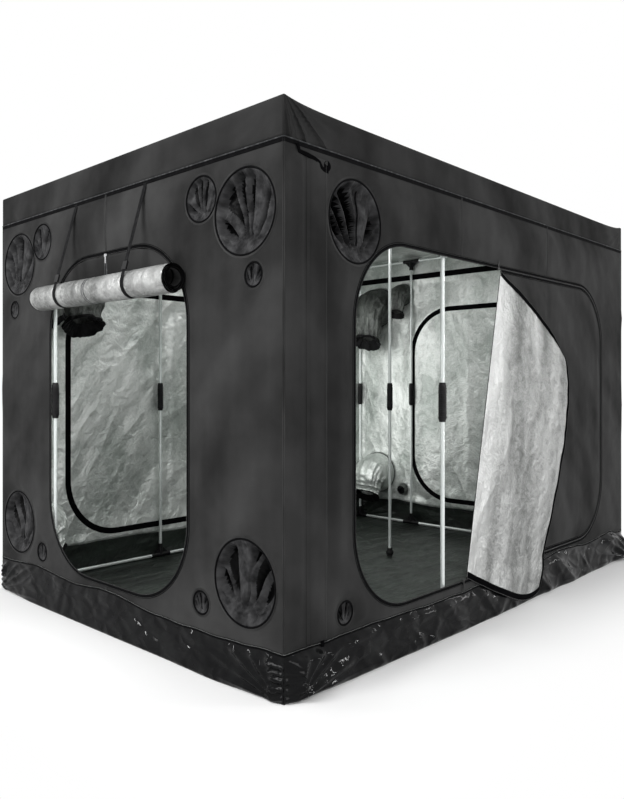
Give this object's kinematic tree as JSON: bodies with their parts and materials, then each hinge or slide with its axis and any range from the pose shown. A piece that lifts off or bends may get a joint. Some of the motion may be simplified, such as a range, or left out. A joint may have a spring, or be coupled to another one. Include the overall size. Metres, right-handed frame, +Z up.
{
  "type": "indoor grow tent",
  "caption": "Long indoor grow tent: white steel pole frame with plastic corners inside a dark cloth cover, round-cornered zip doors, one rolled up and one folded back, tie-off ports and a tub floor",
  "frame": {"origin": "middle of the floor's underside", "axes": "+X along the tent towards the far end, +Y across it away from the front wall with the folded door, +Z up"},
  "size_m": [3.7437, 2.4643, 2.4],
  "materials": {
    "white_steel": "smooth white coating",
    "moulded_plastic": "black, lightly textured",
    "rubber": "matt black",
    "charcoal_cloth": "matt woven outside, silver inside",
    "vinyl": "glossy black coated sheet",
    "silver_lining": "crinkled silver face",
    "tape": "black binding tape",
    "webbing": "black woven webbing",
    "zinc": "plain cast slider"
  },
  "bodies": {
    "tent": {"corner_pole_front_left": "white_steel", "side_pole_front_left": "white_steel", "end_pole_left_front": "white_steel", "bottom_corner_front_left": "moulded_plastic", "top_corner_front_left": "moulded_plastic", "corner_pole_front_right": "white_steel", "side_pole_front_right": "white_steel", "end_pole_right_front": "white_steel", "bottom_corner_front_right": "moulded_plastic", "top_corner_front_right": "moulded_plastic", "corner_pole_back_left": "white_steel", "side_pole_back_left": "white_steel", "end_pole_left_back": "white_steel", "bottom_corner_back_left": "moulded_plastic", "top_corner_back_left": "moulded_plastic", "corner_pole_back_right": "white_steel", "side_pole_back_right": "white_steel", "end_pole_right_back": "white_steel", "bottom_corner_back_right": "moulded_plastic", "top_corner_back_right": "moulded_plastic", "centre_pole_left": "white_steel", "pole_foot_left": "rubber", "roof_bar_left": "white_steel", "centre_pole_right": "white_steel", "pole_foot_right": "rubber", "roof_bar_right": "white_steel", "bottom_rail_front": "white_steel", "top_rail_front": "white_steel", "bottom_rail_back": "white_steel", "top_rail_back": "white_steel", "bottom_rail_left": "white_steel", "top_rail_left": "white_steel", "bottom_rail_right": "white_steel", "top_rail_right": "white_steel", "tub_base": "vinyl", "wall_front": "charcoal_cloth", "wall_back": "charcoal_cloth", "wall_left": "charcoal_cloth", "wall_right": "charcoal_cloth", "roof_cap": "charcoal_cloth", "roof_seam_welt": "tape", "front_door_panel": "charcoal_cloth", "rolled_door": "silver_lining", "strap_upper_front": "webbing", "strap_upper_back": "webbing", "strap_lower_front": "webbing", "strap_lower_back": "webbing", "buckle_socket_front": "moulded_plastic", "buckle_socket_back": "moulded_plastic", "corner_storm_flap": "charcoal_cloth"},
    "front_flap": {"front_door_flap": "charcoal_cloth"},
    "back_door_body": {"back_door": "charcoal_cloth"},
    "right_door_body": {"right_door": "charcoal_cloth"},
    "slider_front_top": {"front_door_slider_top": "zinc"},
    "slider_front_low": {"front_door_slider_low": "zinc"},
    "slider_left": {"left_door_slider": "zinc"},
    "slider_right": {"right_door_slider": "zinc"},
    "slider_back": {"back_door_slider": "zinc"},
    "prongs_front": {"buckle_prongs_front": "moulded_plastic"},
    "prongs_back": {"buckle_prongs_back": "moulded_plastic"}
  },
  "joints": [
    {"name": "front_flap_swing", "type": "hinge", "parent": "tent", "child": "front_flap", "pos_m": [-0.413, -1.2, 0.253], "axis": [0.2202, 0, 0.9755], "range_deg": [-175, 0]},
    {"name": "back_door_swing", "type": "hinge", "parent": "tent", "child": "back_door_body", "pos_m": [1.41, 1.2, 0], "axis": [0, 0, -1], "range_deg": [0, 170]},
    {"name": "right_door_swing", "type": "hinge", "parent": "tent", "child": "right_door_body", "pos_m": [1.8, 0, 1.92], "axis": [0, -1, 0], "range_deg": [0, 120]},
    {"name": "front_top_slider_run", "type": "slide", "parent": "tent", "child": "slider_front_top", "axis": [1, 0, 0], "range_m": [-0.87, 0]},
    {"name": "front_low_slider_run", "type": "slide", "parent": "tent", "child": "slider_front_low", "axis": [1, 0, 0], "range_m": [-0.5, 0]},
    {"name": "left_slider_run", "type": "slide", "parent": "tent", "child": "slider_left", "axis": [0, 1, 0], "range_m": [-0.24, 0.15]},
    {"name": "right_slider_run", "type": "slide", "parent": "right_door_body", "child": "slider_right", "axis": [0, 1, 0], "range_m": [-0.2, 0.2]},
    {"name": "back_slider_run", "type": "slide", "parent": "back_door_body", "child": "slider_back", "axis": [1, 0, 0], "range_m": [-0.94, 1]},
    {"name": "buckle_front_release", "type": "slide", "parent": "tent", "child": "prongs_front", "axis": [-0.2773, 0, -0.9608], "range_m": [0, 0.022], "deforming": ["strap_lower_front"]},
    {"name": "buckle_back_release", "type": "slide", "parent": "tent", "child": "prongs_back", "axis": [-0.2773, 0, -0.9608], "range_m": [0, 0.022], "deforming": ["strap_lower_back"]}
  ]
}
